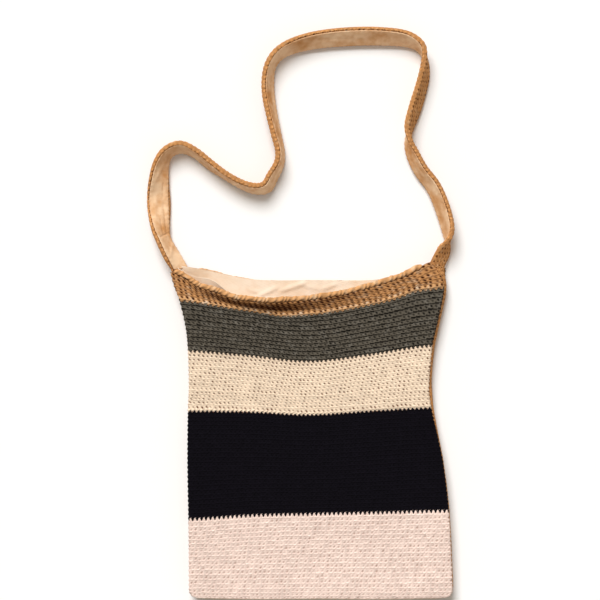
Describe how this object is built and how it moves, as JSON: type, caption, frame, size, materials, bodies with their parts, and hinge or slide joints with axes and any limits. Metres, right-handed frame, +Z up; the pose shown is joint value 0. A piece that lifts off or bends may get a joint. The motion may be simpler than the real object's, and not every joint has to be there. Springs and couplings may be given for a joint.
{
  "type": "crocheted shoulder bag",
  "caption": "Close-crocheted flat shoulder bag in horizontal bands of colour, with a lined strap worked in one with the side gussets, lying empty on its back",
  "frame": {"origin": "on the surface under the middle of the bag with its strap laid out, at the bottom centre of its box", "axes": "+X to the right across the front, +Y from the bottom of the bag to the strap, +Z up out of the front as it lies on its back"},
  "size_m": [0.3232, 0.6021, 0.027],
  "materials": {
    "striped_crochet": "matt single crochet in tan, charcoal, cream, black and blush cotton yarn",
    "tan_crochet": "matt single crochet in tan cotton yarn",
    "cotton_lining": "matt cream cotton, plain woven"
  },
  "bodies": {
    "root": {"front_panel": "striped_crochet", "back_panel": "striped_crochet", "band": "tan_crochet", "front_rim": "tan_crochet", "back_rim": "tan_crochet", "bag_lining": "cotton_lining", "strap_lining": "cotton_lining"}
  },
  "joints": []
}
